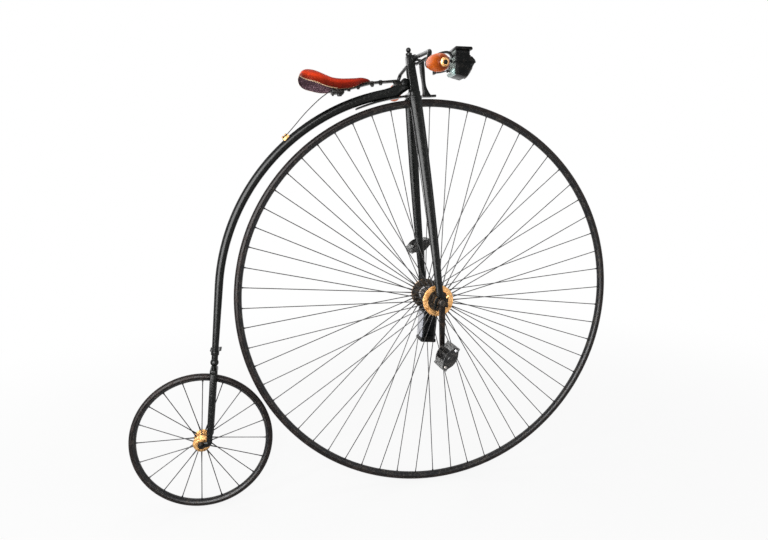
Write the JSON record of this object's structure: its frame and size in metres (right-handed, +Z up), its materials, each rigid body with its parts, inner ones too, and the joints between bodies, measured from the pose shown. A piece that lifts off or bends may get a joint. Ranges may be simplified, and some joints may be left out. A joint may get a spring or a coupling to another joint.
{
  "type": "penny farthing bicycle",
  "caption": "High-wheel bicycle with direct cranks on a large front wheel, a small trailing wheel, curved backbone, leather saddle, spoon brake and lamps.",
  "frame": {"origin": "on the saddle's dip, where the rider sits and holds the machine up", "axes": "+X forward along the machine, +Y to the rider's left, +Z up; the wheels' lowest points lie 1.375 m below the origin"},
  "size_m": [1.6651, 0.6252, 1.4825],
  "materials": {
    "enamel": "glossy black stove enamel",
    "spoke_enamel": "dark grey enamelled steel",
    "steel": "worn bright steel",
    "brass": "polished brass, warm",
    "tyre": "solid black rubber",
    "pedal_rubber": "grey-black ribbed rubber",
    "leather": "orange-red saddle leather, waxed",
    "wood": "varnished orange-brown hardwood",
    "lens_glass": "clear pressed glass"
  },
  "bodies": {
    "frame": {"backbone": "enamel", "steering_spindle": "enamel", "rear_fork_crown": "enamel", "rear_fork_blade_R": "enamel", "rear_fork_blade_L": "enamel", "rear_axle": "enamel", "mounting_step": "enamel", "saddle_leather": "leather", "saddle_frame": "enamel", "saddle_spring": "enamel", "saddle_tail_spring": "steel", "tail_spring_clip": "brass"},
    "fork": {"steering_head": "enamel", "head_bolt": "steel", "fork_leg_R": "enamel", "fork_leg_L": "enamel", "bearing_oiler_R": "brass", "bearing_oiler_L": "brass", "handlebar": "enamel", "grip_R": "wood", "grip_L": "wood", "grip_cap_R": "brass", "grip_cap_L": "brass", "brake_spoon": "enamel", "brake_lever": "enamel", "crown_guard": "enamel", "lamp_bracket": "enamel", "headlamp_body": "enamel", "headlamp_lens": "lens_glass"},
    "front_wheel": {"front_tyre": "tyre", "front_rim_and_spokes": "spoke_enamel", "front_hub": "steel", "hub_flange_R": "brass", "hub_flange_L": "brass", "crank_R": "enamel", "crank_L": "enamel"},
    "right_pedal": {"pedal_R_cage": "steel", "pedal_R_rubber_front": "pedal_rubber", "pedal_R_rubber_rear": "pedal_rubber"},
    "left_pedal": {"pedal_L_cage": "steel", "pedal_L_rubber_front": "pedal_rubber", "pedal_L_rubber_rear": "pedal_rubber"},
    "rear_wheel": {"rear_tyre": "tyre", "rear_rim_and_spokes": "spoke_enamel", "rear_hub": "brass"},
    "hub_lamp": {"hub_lamp_hanger": "enamel", "hub_lamp_body": "enamel"}
  },
  "joints": [
    {"name": "steering", "type": "hinge", "parent": "frame", "child": "fork", "pos_m": [0.33, 0, -0.715], "axis": [-0.0941, 0, 0.9956], "range_deg": [-40, 40]},
    {"name": "front_wheel_spin", "type": "hinge", "parent": "fork", "child": "front_wheel", "pos_m": [0.33, 0, -0.715], "axis": [0, 1, 0], "continuous": true},
    {"name": "right_pedal_spin", "type": "hinge", "parent": "front_wheel", "child": "right_pedal", "pos_m": [0.33, 0, -0.878], "axis": [0, 1, 0], "continuous": true},
    {"name": "left_pedal_spin", "type": "hinge", "parent": "front_wheel", "child": "left_pedal", "pos_m": [0.33, 0, -0.552], "axis": [0, 1, 0], "continuous": true},
    {"name": "rear_wheel_spin", "type": "hinge", "parent": "frame", "child": "rear_wheel", "pos_m": [-0.44965, 0, -1.1496], "axis": [0, 1, 0], "continuous": true},
    {"name": "hub_lamp_swing", "type": "hinge", "parent": "fork", "child": "hub_lamp", "pos_m": [0.33, 0, -0.715], "axis": [0, 1, 0], "continuous": true}
  ]
}
